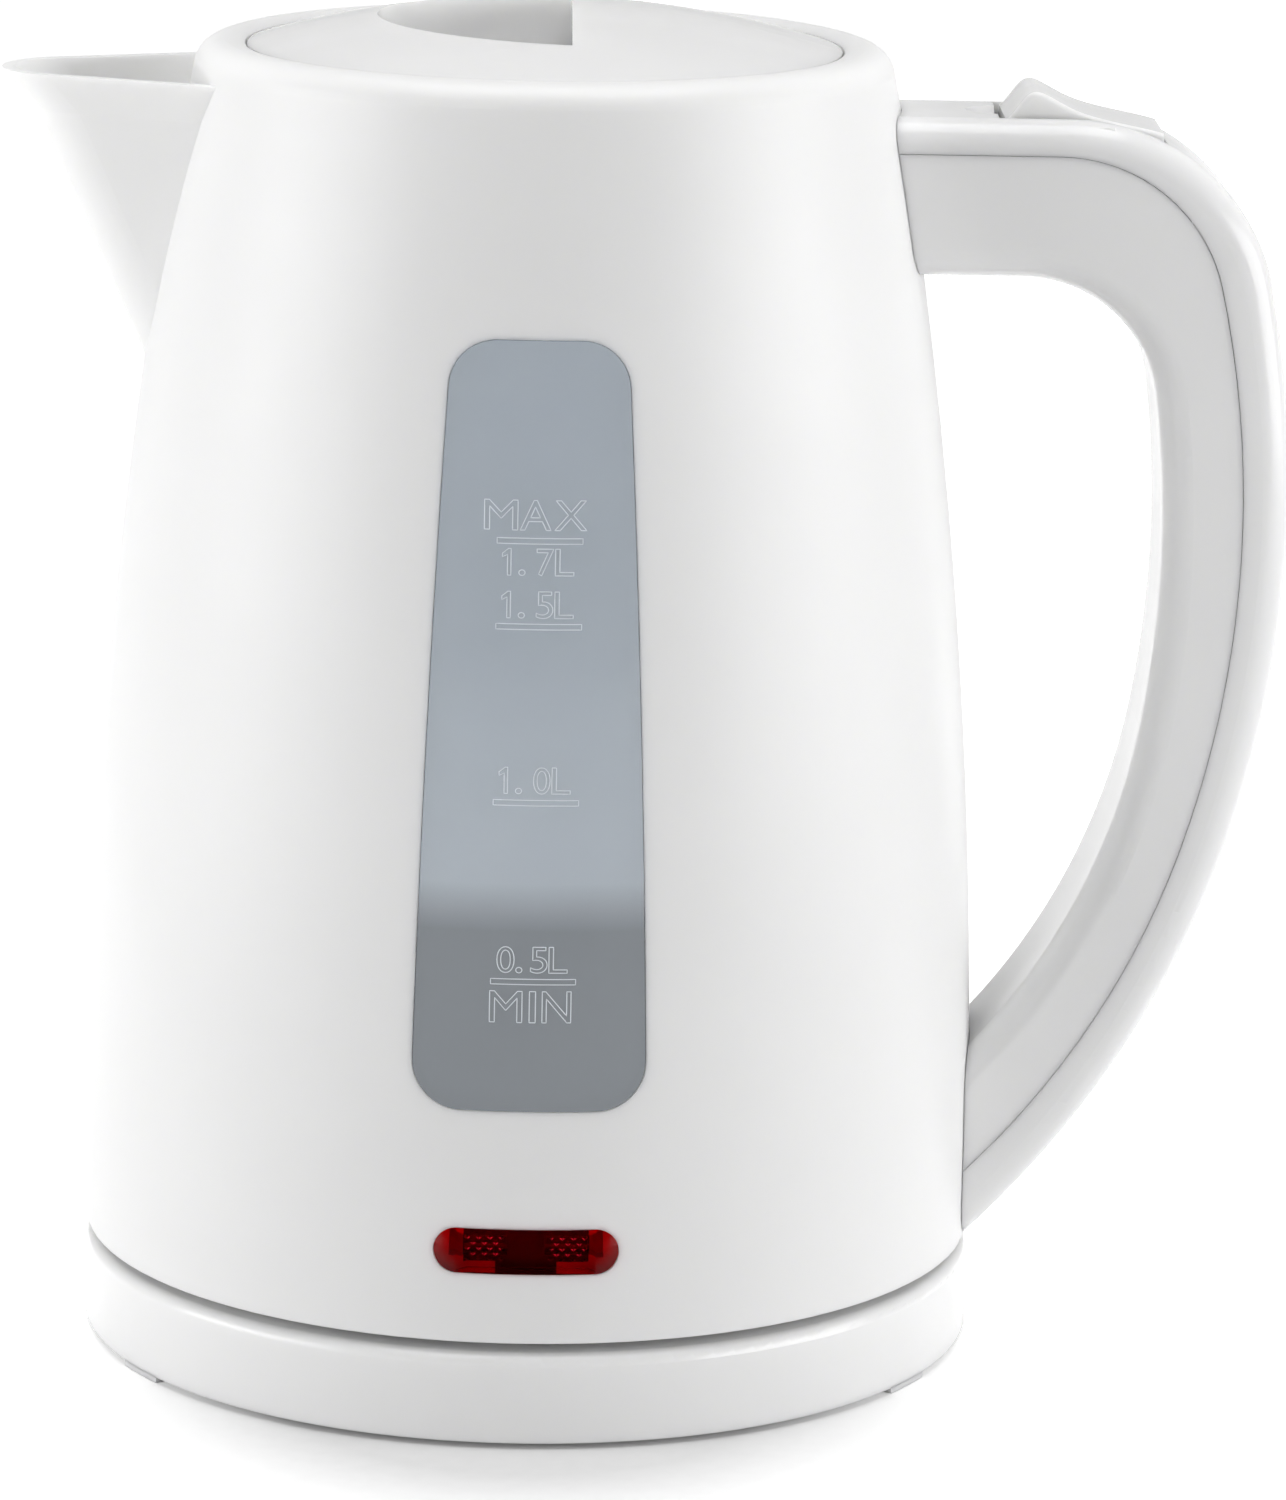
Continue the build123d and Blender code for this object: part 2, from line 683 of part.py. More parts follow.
# Bottom cover: closes the underside of the jug, with a hollow pillar up to each of its screws
with BuildPart() as bottom_cover:
    with Locations((0, 0, bottom_cover_base)):
        Cylinder(inner_floor_radius - fit_gap, bottom_cover_thickness, align=FROM_BELOW)
        Cylinder(control_radius + fit_gap, bottom_cover_thickness, align=FROM_BELOW, mode=Mode.SUBTRACT)
    pillar_height = clamp_bottom - fit_gap - bottom_cover_base
    with Locations(*[(x, y, bottom_cover_base) for x, y in cover_screw_places]):
        Cylinder(boss_radius, pillar_height, align=FROM_BELOW)
        Cylinder(screw_radius + fit_gap, pillar_height, align=FROM_BELOW, mode=Mode.SUBTRACT)
        Cylinder(screw_head_radius + fit_gap, screw_head_height, align=FROM_BELOW, mode=Mode.SUBTRACT)
finish(bottom_cover, "bottom_cover")

# Bottom screws: long ones, sunk in the bottom cover
with BuildPart() as bottom_screws:
    add_screws(cover_screw_places, bottom_cover_base + screw_head_height, flange_bottom - seat_gap)
finish(bottom_screws, "bottom_screws")

# Curves of the handle in percent of its height: level run from the jug, depth below the top, and bends
outer_curve = (6.065, 0.0, [(18.32, 78.0), (98.46, 28.7), (85.31, 32.3)])
parting_curve = (5.041, 2.968, [(14.69, 76.5), (92.58, 31.5), (72.82, 26.0)])
inner_curve = (2.226, 13.716, [(12.03, 81.9), (95.60, 17.8), (58.29, 36.1)])


def share(percent):
    """A length given in percent of the handle's height."""
    return percent * handle_drop / 100


def handle_curve(curve, inset):
    """A level run and a chain of tangent (radius, turn) arcs down to the foot, moved inwards by an inset."""
    stand_off, depth, bends = curve
    height = handle_top - share(depth) - inset
    run = Line((jug_radius - handle_root, height), (jug_radius + share(stand_off), height))
    begin = run @ 0
    for radius, turn in bends:
        run = JernArc(run @ 1, run % 1, share(radius) - inset, -turn)
    foot = Line(run @ 1, run @ 1 + (run % 1) * handle_foot_run)
    return begin, foot @ 1


def handle_side(upper, lower, top_inset=0.0, low_inset=0.0):
    """Side view of what lies between two of the handle's curves."""
    with BuildSketch(Plane.XZ) as side_view:
        with BuildLine():
            top_begin, top_end = handle_curve(upper, top_inset)
            low_begin, low_end = handle_curve(lower, -low_inset)
            Line(top_end, low_end)
            Line(low_begin, top_begin)
        make_face()
    return side_view.sketch


handle_hollow = handle_side(outer_curve, inner_curve, handle_wall, handle_wall)
keep_out = jug_space(-fit_gap, 0, neck_height)
arm_under = handle_top - share(inner_curve[1])

# Handle blank: both halves in one, rounded along all four edges
with BuildPart() as handle_blank:
    extrude(handle_side(outer_curve, inner_curve), amount=half_handle, both=True)
    fillet(handle_blank.edges().filter_by(GeomType.CIRCLE), handle_round)
    extrude(handle_hollow, amount=half_handle - handle_wall, both=True, mode=Mode.SUBTRACT)

# Handle inner: the half towards the jug, with a rib and a boss for the foot screw
boss_end = jug_radius + 2 * boss_radius
with BuildPart() as handle_inner:
    add(handle_blank.part)
    inner_side = handle_side(parting_curve, inner_curve, 0, -handle_wall)
    extrude(inner_side, amount=handle_width, both=True, mode=Mode.INTERSECT)
    with Locations((0, 0, handle_foot_hole)):
        Box(boss_end, handle_width - handle_wall, handle_wall, align=(Align.MIN, Align.CENTER, Align.CENTER))
    with Locations(Location((0, 0, handle_foot_hole), (0, 90, 0))):
        Cylinder(boss_radius + handle_wall / 2, boss_end, align=FROM_BELOW)
        Cylinder(screw_radius + fit_gap, boss_end, align=FROM_BELOW, mode=Mode.SUBTRACT)
    revolve(keep_out, axis=Axis.Z, mode=Mode.SUBTRACT)
finish(handle_inner, "handle_inner")

# Handle cover: the outer half, with the rocker's opening and an ear for each of its pins
opening_front = rocker_front - rocker_end_gap
opening_back = rocker_back + rocker_end_gap / 2
opening_half = rocker_width / 2 + moving_gap
ear_thickness = half_handle - handle_wall - opening_half
with BuildPart() as handle_cover:
    add(handle_blank.part)
    cover_side = handle_side(outer_curve, parting_curve, -handle_wall, parting_gap)
    extrude(cover_side, amount=handle_width, both=True, mode=Mode.INTERSECT)
    for side in (-1, 1):
        with Locations((pivot_x, side * (opening_half + ear_thickness / 2), pivot_z)):
            Box(4 * rocker_pin_radius, ear_thickness, 2 * (handle_top - handle_wall / 2 - pivot_z))
    with Locations(((opening_front + opening_back) / 2, 0, handle_top)):
        Box(opening_back - opening_front, 2 * opening_half, 2 * (handle_top - arm_under), mode=Mode.SUBTRACT)
    with Locations((opening_front, 0, handle_top - scoop_depth + scoop_radius)):
        Sphere(scoop_radius, mode=Mode.SUBTRACT)
    with Locations(Location((pivot_x, 0, pivot_z), (90, 0, 0))):
        Cylinder(rocker_pin_radius + pin_gap, handle_width - 2 * handle_wall, mode=Mode.SUBTRACT)
    revolve(keep_out, axis=Axis.Z, mode=Mode.SUBTRACT)
finish(handle_cover, "handle_cover")

# Handle screw: from inside the jug's skirt into the foot of the handle
with BuildPart() as handle_screws:
    with Locations(Location((inner_floor_radius - fit_gap, 0, handle_foot_hole), (0, 90, 0))):
        Cylinder(screw_radius, boss_end - inner_floor_radius, align=FROM_BELOW)
        Cylinder(screw_head_radius, screw_head_height, align=FROM_ABOVE)
finish(handle_screws, "handle_screws")

# Switch rocker: a paddle with a thumb hump, two pivot pins and a tongue below
tongue_bottom = lever_z + lever_hub_radius + moving_gap
rocker_length = rocker_back - rocker_front
hump_line = [(0, -0.1), (0.08, 0.48), (0.17, 0.98), (0.29, 0.77), (0.42, 0.36), (0.64, -0.05), (1, -0.52)]
with BuildPart() as switch_rocker:
    with BuildSketch(Plane.XZ) as paddle:
        with BuildLine():
            hump = Spline(*[
                (rocker_front + along * rocker_length, handle_top + rise * hump_height)
                for along, rise in hump_line
            ])
            Polyline(
                hump @ 1,
                (rocker_back, pivot_z - rocker_pin_radius / 2),
                (pivot_x, pivot_z - 2 * rocker_pin_radius),
                (rocker_front, pivot_z),
                hump @ 0,
            )
        make_face()
    extrude(amount=rocker_width / 2, both=True)
    hump_edges = switch_rocker.edges().filter_by(GeomType.BSPLINE)
    fillet(hump_edges, rocker_edge_round)
    with Locations(Location((pivot_x, 0, pivot_z), (90, 0, 0))):
        Cylinder(rocker_pin_radius, handle_width - 2 * handle_wall - 2 * moving_gap)
    with Locations((pivot_x, 0, tongue_bottom)):
        Box(2 * rocker_pin_radius, 0.75 * lever_width, pivot_z - tongue_bottom, align=FROM_BELOW)
finish(switch_rocker, "switch_rocker")

# Steam duct: leads steam through the jug's wall into the handle
duct_start = wall_radius(steam_height, jug_wall) - duct_wall
with BuildPart() as steam_duct:
    with Locations(Location((duct_start, 0, steam_height), (0, 90, 0))):
        Cylinder(duct_radius, duct_length, align=FROM_BELOW)
        Cylinder(duct_radius - duct_wall, duct_length, align=FROM_BELOW, mode=Mode.SUBTRACT)
finish(steam_duct, "steam_duct")

# Steam bimetal: the disc at the end of the duct
disc_x = duct_start + duct_length + fit_gap
with BuildPart() as steam_bimetal:
    with Locations(Location((disc_x, 0, steam_height), (0, 90, 0))):
        Cylinder(disc_radius, disc_thickness, align=FROM_BELOW)
finish(steam_bimetal, "steam_bimetal")

# Steam switch: the block that the disc trips, with two cheeks for the lever's pin
block_front = disc_x + disc_thickness + fit_gap
block_bottom = arm_under + handle_wall + seat_gap
cheek_inner = lever_width / 2 + moving_gap
steam_block_length = lever_x - lever_hub_radius - moving_gap - block_front
with BuildPart() as steam_switch:
    with Locations((block_front, 0, block_bottom)):
        Box(steam_block_length, steam_block_width, steam_block_height, align=FROM_JUG)
    cheek_length = lever_x + lever_hub_radius - block_front
    for side in (-1, 1):
        with Locations((block_front, side * (cheek_inner + cheek_thickness / 2), block_bottom)):
            Box(cheek_length, cheek_thickness, steam_block_height, align=FROM_JUG)
    with Locations(Location((lever_x, 0, lever_z), (90, 0, 0))):
        Cylinder(lever_pin_radius + fit_gap, handle_width, mode=Mode.SUBTRACT)
finish(steam_switch, "steam_switch")

# Trip lever: turns on its pin between the cheeks, its upper arm beside the rocker's tongue
arm_x = pivot_x - rocker_pin_radius - moving_gap - lever_pin_radius
with BuildPart() as trip_lever:
    with BuildSketch(Plane.XZ):
        with Locations((lever_x, lever_z)):
            Circle(lever_hub_radius)
        with BuildLine():
            Polyline(
                (lever_x, lever_z),
                (arm_x - lever_pin_radius, tongue_bottom + 2 * lever_pin_radius),
                (arm_x, tongue_bottom + 2 * lever_pin_radius),
                (lever_x + lever_hub_radius, lever_z),
                close=True,
            )
        make_face()
        with Locations((lever_x, lever_z)):
            Circle(lever_pin_radius + pin_gap, mode=Mode.SUBTRACT)
    extrude(amount=lever_width / 2, both=True)
finish(trip_lever, "trip_lever")

# Lever pin: fixed in the cheeks
with BuildPart() as lever_pin:
    with Locations(Location((lever_x, 0, lever_z), (90, 0, 0))):
        Cylinder(lever_pin_radius, 2 * (cheek_inner + cheek_thickness))
finish(lever_pin, "lever_pin")

# Wiring loom: from the control unit through the handle's hollow to the steam switch
loom_bends = [(4.094, 92.12), (13.31, 77.79), (19.45, 56.29), (20.37, 35.82), (16.89, 17.40)]
loom_end = (block_front + cheek_length, block_bottom + 2 * loom_radius)
with BuildPart() as wiring_loom:
    with BuildLine(Plane.XZ) as loom_path:
        FilletPolyline(
            (control_radius + seat_gap, loom_height),
            (jug_radius, loom_height),
            *[(jug_radius + share(out), handle_top - share(depth)) for out, depth in loom_bends],
            loom_end,
            radius=6 * loom_radius,
        )
    with BuildSketch(Plane(loom_path.line @ 0, z_dir=loom_path.line % 0)):
        Circle(loom_radius)
    sweep()
finish(wiring_loom, "wiring_loom")

# Lid cover: a shallow dome with a half-moon finger pocket that runs under a grip lip
lid_rim = mouth_rim
dome_radius = (lid_radius ** 2 + lid_rise ** 2) / (2 * lid_rise)
dome_centre = lid_rim + lid_rise - dome_radius
flange_low = ledge_top + seat_gap
edge_bottom = flange_low + liner_flange + fit_gap


def dome(inset, bottom):
    """Profile under the lid's dome, inset from its top and side, down to a height."""
    side = lid_radius - inset
    top = dome_radius - inset
    middle = side / 2
    with BuildSketch(Plane.XZ) as profile:
        with BuildLine():
            rim_height = dome_centre + sqrt(top ** 2 - side ** 2)
            crown = ThreePointArc(
                (0, dome_centre + top),
                (middle, dome_centre + sqrt(top ** 2 - middle ** 2)),
                (side, rim_height),
            )
            Polyline(crown @ 1, (side, bottom), (0, bottom), crown @ 0)
        make_face()
    return profile.sketch


def half_moon(radius, wall_x, height):
    """The finger pocket seen from above: a half disc on the spout side of a straight wall."""
    with BuildSketch(Plane.XY.offset(height)) as outline:
        with Locations((pocket_wall_x, 0)):
            Circle(radius)
        with Locations((wall_x, 0)):
            Rectangle(4 * radius, 4 * radius, align=(Align.MIN, Align.CENTER), mode=Mode.SUBTRACT)
    return outline.sketch


skirt_radius = bore_radius - moving_gap - lid_seal_section / 4
lid_screw_circle = skirt_radius - 2 * liner_wall - lid_boss_radius - 2 * moving_gap
lid_boss_places = on_circle(lid_screw_circle, (0, 100, 260))
liner_floor = liner_bottom + liner_wall
with BuildPart() as lid_cover:
    revolve(dome(0, edge_bottom), axis=Axis.Z)
    revolve(dome(lid_wall, edge_bottom), axis=Axis.Z, mode=Mode.SUBTRACT)
    pocket_base = pocket_floor - lid_wall
    undercut_x = pocket_wall_x + pocket_undercut
    outer_moon = half_moon(pocket_radius + lid_wall, undercut_x + lid_wall, pocket_base)
    extrude(outer_moon, amount=lid_rim - pocket_base + lid_rise)
    with Locations(*[(x, y, liner_floor + fit_gap) for x, y in lid_boss_places]):
        Cylinder(lid_boss_radius, lid_rim - liner_floor + lid_rise, align=FROM_BELOW)
        Cylinder(screw_radius + fit_gap, edge_bottom - liner_floor, align=FROM_BELOW, mode=Mode.SUBTRACT)
    revolve(dome(0, liner_floor), axis=Axis.Z, mode=Mode.INTERSECT)
    lip_under = lid_rim + lid_rise - grip_lip
    inner_moon = half_moon(pocket_radius, pocket_wall_x, pocket_floor)
    extrude(inner_moon, amount=lid_rim + 2 * lid_rise - pocket_floor, mode=Mode.SUBTRACT)
    under_moon = half_moon(pocket_radius, undercut_x, pocket_floor)
    extrude(under_moon, amount=lip_under - lid_wall - pocket_floor, mode=Mode.SUBTRACT)
finish(lid_cover, "lid_cover")

# Lid liner: the inner cup of the lid, whose flange rests on the mouth's ledge
seal_groove = lid_seal_section / 2
with BuildPart() as lid_liner:
    revolve(turned([
        (0, liner_bottom),
        (skirt_radius, liner_bottom),
        (skirt_radius, lid_seal_height - seal_groove),
        (skirt_radius - seal_groove, lid_seal_height - seal_groove),
        (skirt_radius - seal_groove, lid_seal_height + seal_groove),
        (skirt_radius, lid_seal_height + seal_groove),
        (skirt_radius, flange_low),
        (lid_radius, flange_low),
        (lid_radius, flange_low + liner_flange),
        (skirt_radius - 2 * liner_wall, flange_low + liner_flange),
        (skirt_radius - 2 * liner_wall, liner_floor),
        (0, liner_floor),
    ]), axis=Axis.Z)
    with Locations(*[(x, y, liner_bottom) for x, y in lid_boss_places]):
        Cylinder(screw_radius + fit_gap, liner_wall, align=FROM_BELOW, mode=Mode.SUBTRACT)
finish(lid_liner, "lid_liner")

# Lid seal: a soft ring in the skirt's groove
with BuildPart() as lid_seal:
    with Locations((0, 0, lid_seal_height)):
        Cylinder(bore_radius - moving_gap, 2 * (seal_groove - fit_gap))
        Cylinder(skirt_radius - seal_groove + fit_gap, lid_seal_section, mode=Mode.SUBTRACT)
finish(lid_seal, "lid_seal")

# Lid screws: from below, through the liner into the cover's bosses
with BuildPart() as lid_screws:
    add_screws(lid_boss_places, liner_bottom, edge_bottom - 2 * seat_gap)
finish(lid_screws, "lid_screws")
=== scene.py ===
# %% [markdown]
# # Dressing an electric kettle
# This lesson takes the jointed CAD model of a white kettle and gives it the looks of the real one.
# The solids already have the right shapes, so most of the work is finishes: glossy moulded plastic,
# smoky see-through plastic, red lamp plastic and the metals inside. Only what solids are bad at is
# modelled here: the fine raised level marks, the faceted lens of the lamp and the woven filter.

# %% Load the frame
import json
import math

import bmesh
import bpy
from mathutils import Matrix, Vector
from mathutils.bvhtree import BVHTree
from mathutils.geometry import interpolate_bezier


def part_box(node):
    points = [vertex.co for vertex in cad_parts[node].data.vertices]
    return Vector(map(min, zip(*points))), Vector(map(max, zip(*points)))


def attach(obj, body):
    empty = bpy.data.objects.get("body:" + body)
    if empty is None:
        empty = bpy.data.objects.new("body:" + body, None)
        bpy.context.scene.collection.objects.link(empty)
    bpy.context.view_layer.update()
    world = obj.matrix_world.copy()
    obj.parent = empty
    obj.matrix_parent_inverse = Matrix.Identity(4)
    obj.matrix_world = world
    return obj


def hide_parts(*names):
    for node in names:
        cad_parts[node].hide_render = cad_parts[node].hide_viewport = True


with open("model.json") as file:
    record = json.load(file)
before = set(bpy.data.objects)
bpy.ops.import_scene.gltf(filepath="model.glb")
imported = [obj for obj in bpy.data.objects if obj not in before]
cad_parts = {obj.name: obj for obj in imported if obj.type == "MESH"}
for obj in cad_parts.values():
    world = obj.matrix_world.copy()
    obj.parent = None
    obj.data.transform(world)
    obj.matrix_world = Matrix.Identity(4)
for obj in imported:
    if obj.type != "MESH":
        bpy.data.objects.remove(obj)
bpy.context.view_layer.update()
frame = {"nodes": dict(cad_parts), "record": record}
nodes = frame["nodes"]

# %% [markdown]
# ## The camera
# The picture was taken from the front with a long lens, looking down a little. A camera could be
# placed by eye, but one that is worked out from the round edges of the base, the neck and the lid
# keeps every proportion right. Its three turns are written as yaw, pitch and roll.

# %% Place the camera
MM = 0.001
photo_height = 1500.0
focal_pixels = 6766.16
camera_place = Vector((0.0, -1.14399, 0.36548))
yaw, pitch, roll = (math.radians(turn) for turn in (0.9475, 12.999, -1.1266))

camera_data = bpy.data.cameras.new("photo_camera")
camera_data.sensor_fit = "VERTICAL"
camera_data.sensor_height = 36.0
camera_data.lens = focal_pixels / photo_height * camera_data.sensor_height
camera = bpy.data.objects.new("photo_camera", camera_data)
forward = Vector((
    math.sin(yaw) * math.cos(pitch),
    math.cos(yaw) * math.cos(pitch),
    -math.sin(pitch),
))
level_right = Vector((math.cos(yaw), -math.sin(yaw), 0.0))
level_down = forward.cross(level_right)
right = math.cos(roll) * level_right + math.sin(roll) * level_down
down = math.cos(roll) * level_down - math.sin(roll) * level_right
camera_turn = Matrix((right, -down, -forward)).transposed().to_4x4()
camera.matrix_world = Matrix.Translation(camera_place) @ camera_turn
bpy.context.scene.collection.objects.link(camera)
bpy.context.scene.camera = camera
bpy.context.scene.view_settings.view_transform = "Standard"
print("lens", round(camera_data.lens, 2), "mm")

# %% [markdown]
# ## Helpers for finishes
# Every finish starts from the Principled shader. What is the same all over, such as how clear or
# how metallic it is, is set on the shader itself. What varies, such as a faint cloudiness of the
# colour or the fine ripple of a moulded face, comes from noise in the object's own coordinates.

# %% Helpers for finishes
noise_low, noise_high = 0.3, 0.7  # most of Blender's noise lies between these two


def start_finish(name, **settings):
    """A new material with its Principled shader's plain settings."""
    material = bpy.data.materials.new(name)
    material.use_nodes = True
    shader = material.node_tree.nodes["Principled BSDF"]
    for socket, value in settings.items():
        shader.inputs[socket.replace("_", " ")].default_value = value
    return material, material.node_tree, shader


def plug(tree, socket, value):
    """Link another node's output to a socket, or set the socket to a plain value."""
    if isinstance(value, bpy.types.NodeSocket):
        tree.links.new(value, socket)
    else:
        socket.default_value = value


def add_node(tree, kind, **inputs):
    """A node with some of its inputs set or linked."""
    node = tree.nodes.new(kind)
    for socket, value in inputs.items():
        plug(tree, node.inputs[socket.replace("_", " ")], value)
    return node


def reckon(tree, kind, operation, *values):
    """A Math or Vector Math node that works on some values; gives its outputs."""
    node = tree.nodes.new(kind)
    node.operation = operation
    for socket, value in zip(node.inputs, values):
        plug(tree, socket, value)
    return node.outputs


def number(tree, operation, *values):
    """The result of a Math node."""
    return reckon(tree, "ShaderNodeMath", operation, *values)["Value"]


def object_place(tree, stretch=(1.0, 1.0, 1.0)):
    """The point on the object, stretched per axis."""
    place = add_node(tree, "ShaderNodeTexCoord").outputs["Object"]
    return add_node(tree, "ShaderNodeMapping", Vector=place, Scale=stretch).outputs["Vector"]


def axes_of(tree, place):
    """The X, Y and Z of a point."""
    return add_node(tree, "ShaderNodeSeparateXYZ", Vector=place).outputs


def cloud(tree, place, scale, detail=3.0):
    """Soft noise from 0 to 1."""
    noise = add_node(tree, "ShaderNodeTexNoise", Vector=place, Scale=scale, Detail=detail)
    return noise.outputs["Fac"]


def map_range(tree, value, from_low, from_high, to_low, to_high):
    """A value moved from one range of numbers to another, and held inside it."""
    ranged = add_node(
        tree, "ShaderNodeMapRange", Value=value,
        From_Min=from_low, From_Max=from_high, To_Min=to_low, To_Max=to_high,
    )
    return ranged.outputs["Result"]


def spread(tree, noise, low, high):
    """Noise spread over a range of numbers."""
    return map_range(tree, noise, noise_low, noise_high, low, high)


def tint(tree, noise, first, second):
    """Noise turned into a colour between two."""
    ramp = add_node(tree, "ShaderNodeValToRGB", Fac=noise)
    stops = ramp.color_ramp.elements
    for stop, position, colour in zip(stops, (noise_low, noise_high), (first, second)):
        stop.position = position
        stop.color = (*colour, 1.0)
    return ramp.outputs["Color"]


def ripple(tree, shader, height, depth, strength):
    """A bump of a real depth in metres."""
    bump = add_node(tree, "ShaderNodeBump", Height=height, Distance=depth, Strength=strength)
    tree.links.new(bump.outputs["Normal"], shader.inputs["Normal"])


def feed(tree, shader, **sources):
    """Link varying values to the shader's sockets."""
    for socket, source in sources.items():
        tree.links.new(source, shader.inputs[socket.replace("_", " ")])


print("helpers ready")

# %% [markdown]
# ## Glossy white plastic
# The jug, base, handle and lid are white polypropylene, moulded in polished steel. It shines, but
# not like glass: the face has a fine, very shallow ripple, and light goes about 2 mm into it before
# it comes out again. Subsurface scattering gives that depth. A longer reach would look like wax and
# blur the shade under the shoulder. The jug is a little more matt than the pieces around it, so one
# recipe makes two plastics.

# %% Glossy white plastic
plastic_ior = 1.49
light_reach = 2.0 * MM


def make_white_plastic(name, first, second, rough_low, rough_high, shine):
    """White plastic that clouds faintly between two colours."""
    material, tree, shader = start_finish(
        name, IOR=plastic_ior, Specular_IOR_Level=shine,
        Subsurface_Weight=1.0, Subsurface_Scale=light_reach, Subsurface_Radius=(1.0, 1.0, 0.95),
    )
    place = object_place(tree)
    feed(
        tree, shader,
        Base_Color=tint(tree, cloud(tree, place, 18.0), first, second),
        Roughness=spread(tree, cloud(tree, place, 60.0), rough_low, rough_high),
    )
    ripple(tree, shader, cloud(tree, place, 900.0, 2.0), 0.02 * MM, 0.25)
    return material


white_plastic = make_white_plastic(
    "white_plastic", (0.875, 0.875, 0.873), (0.905, 0.905, 0.903), 0.15, 0.20, shine=0.5,
)
jug_plastic = make_white_plastic(
    "jug_plastic", (0.87, 0.87, 0.868), (0.89, 0.89, 0.888), 0.36, 0.42, shine=0.45,
)
print("made", white_plastic.name, "and", jug_plastic.name)

# %% [markdown]
# ## See-through plastics
# The window is smoky blue-grey and the lamp's lens deep red. Both are clear plastic, so they are
# made with transmission and not painted: the carrier behind the lens shows through it. The lens
# bends and reflects light a little less than such plastic does, and its reflection is tinted, so
# that the pale floor lays no haze over the red. The bulbs behind it are thin glass. The level marks
# use the same recipe with no clearness at all, in a pale grey-blue: the raised beads are real, and
# their paleness is a painted highlight standing in for the light that catches their edges.

# %% See-through plastics
def make_clear_plastic(name, first, second, rough_low, rough_high, clearness=1.0):
    """Plastic or glass that clouds faintly between two colours."""
    material, tree, shader = start_finish(name, IOR=plastic_ior, Transmission_Weight=clearness)
    place = object_place(tree)
    feed(
        tree, shader,
        Base_Color=tint(tree, cloud(tree, place, 45.0), first, second),
        Roughness=spread(tree, cloud(tree, place, 150.0), rough_low, rough_high),
    )
    ripple(tree, shader, cloud(tree, place, 500.0, 2.0), 0.01 * MM, 0.2)
    return material


window_plastic = make_clear_plastic(
    "window_plastic", (0.81, 0.885, 0.965), (0.84, 0.915, 0.995), 0.08, 0.14, clearness=0.55,
)
lens_plastic = make_clear_plastic(
    "lens_plastic", (0.74, 0.004, 0.018), (0.80, 0.006, 0.024), 0.03, 0.08,
)
lens_shader = lens_plastic.node_tree.nodes["Principled BSDF"]
lens_shader.inputs["Specular Tint"].default_value = (0.2, 0.006, 0.01, 1.0)
lens_shader.inputs["IOR"].default_value = 1.3
bulb_glass = make_clear_plastic(
    "bulb_glass", (0.95, 0.86, 0.80), (0.98, 0.92, 0.88), 0.01, 0.03,
)
# painted highlight: the marks' pale opaque colour stands in for the light that their raised edges
# catch
mark_plastic_and_highlight = make_clear_plastic(
    "mark_plastic_and_highlight", (0.68, 0.72, 0.76), (0.76, 0.80, 0.84), 0.18, 0.30, clearness=0.0,
)
print("made window, lens, bulb and mark plastics")

# %% [markdown]
# ## Painted shade at the window's foot
# Low down, the window looks onto the dark steel floor of the jug, and the real panel looks darker
# there within a few millimetres. It is half frosted, so the floor seen through it alone doesn't
# show enough, and this shade is painted into the colour: the colour is multiplied by a number that
# is smaller low down, which keeps the faint clouds in it.

# %% Painted shade at the window's foot
floor_shade_low, floor_shade_high = 88.0 * MM, 96.0 * MM
floor_shade_depth = 0.55

window_tree = window_plastic.node_tree
window_colour = window_tree.nodes["Principled BSDF"].inputs["Base Color"]
window_z = axes_of(window_tree, object_place(window_tree))["Z"]
# painted shade: the colour is darker low down, standing in for the dark floor seen through the
# window
painted_floor_shade = map_range(window_tree, window_z, floor_shade_low, floor_shade_high, floor_shade_depth, 1.0)
plain_colour = window_colour.links[0].from_socket
shaded_window_colour = reckon(window_tree, "ShaderNodeVectorMath", "MULTIPLY", plain_colour, painted_floor_shade)
window_tree.links.new(shaded_window_colour["Vector"], window_colour)
print("window darkens under", round(floor_shade_high / MM), "mm")

# %% [markdown]
# ## Metals
# The floor of the jug is spun steel, so its brushing runs in rings: noise read along the distance
# from the axis gives fine circles. The other metals are rolled or drawn, so their noise is
# stretched one way.

# %% Metals
def make_metal(name, first, second, rough_low, rough_high, rings=False):
    """Bare metal with a grain along one way, or in rings around the axis."""
    material, tree, shader = start_finish(name, Metallic=1.0)
    if rings:
        axes = axes_of(tree, add_node(tree, "ShaderNodeTexCoord").outputs["Object"])
        flat = add_node(tree, "ShaderNodeCombineXYZ", X=axes["X"], Y=axes["Y"]).outputs["Vector"]
        from_axis = reckon(tree, "ShaderNodeVectorMath", "LENGTH", flat)["Value"]
        place = add_node(tree, "ShaderNodeCombineXYZ", X=from_axis).outputs["Vector"]
        grain = cloud(tree, place, 1600.0)
    else:
        grain = cloud(tree, object_place(tree, (1.0, 12.0, 12.0)), 260.0)
    feed(
        tree, shader,
        Base_Color=tint(tree, grain, first, second),
        Roughness=spread(tree, grain, rough_low, rough_high),
    )
    ripple(tree, shader, grain, 0.01 * MM, 0.3)
    return material


floor_steel = make_metal(
    "floor_steel", (0.08, 0.085, 0.09), (0.11, 0.115, 0.12), 0.20, 0.32, rings=True,
)
plain_steel = make_metal("plain_steel", (0.55, 0.55, 0.56), (0.66, 0.66, 0.67), 0.22, 0.36)
contact_brass = make_metal("contact_brass", (0.74, 0.55, 0.24), (0.83, 0.64, 0.31), 0.18, 0.32)
pressed_aluminium = make_metal(
    "pressed_aluminium", (0.70, 0.70, 0.72), (0.80, 0.80, 0.82), 0.28, 0.42,
)
snap_disc_metal = make_metal("snap_disc_metal", (0.50, 0.45, 0.38), (0.60, 0.54, 0.46), 0.25, 0.40)
print("made five metals")

# %% [markdown]
# ## Matt finishes
# Heat-proof black plastic, soft silicone and the woven glass sleeve of the wires have no shine to
# speak of. They differ in how rough they are and in the grain of the face, so one recipe serves
# them all.

# %% Matt finishes
matt_ior = 1.45


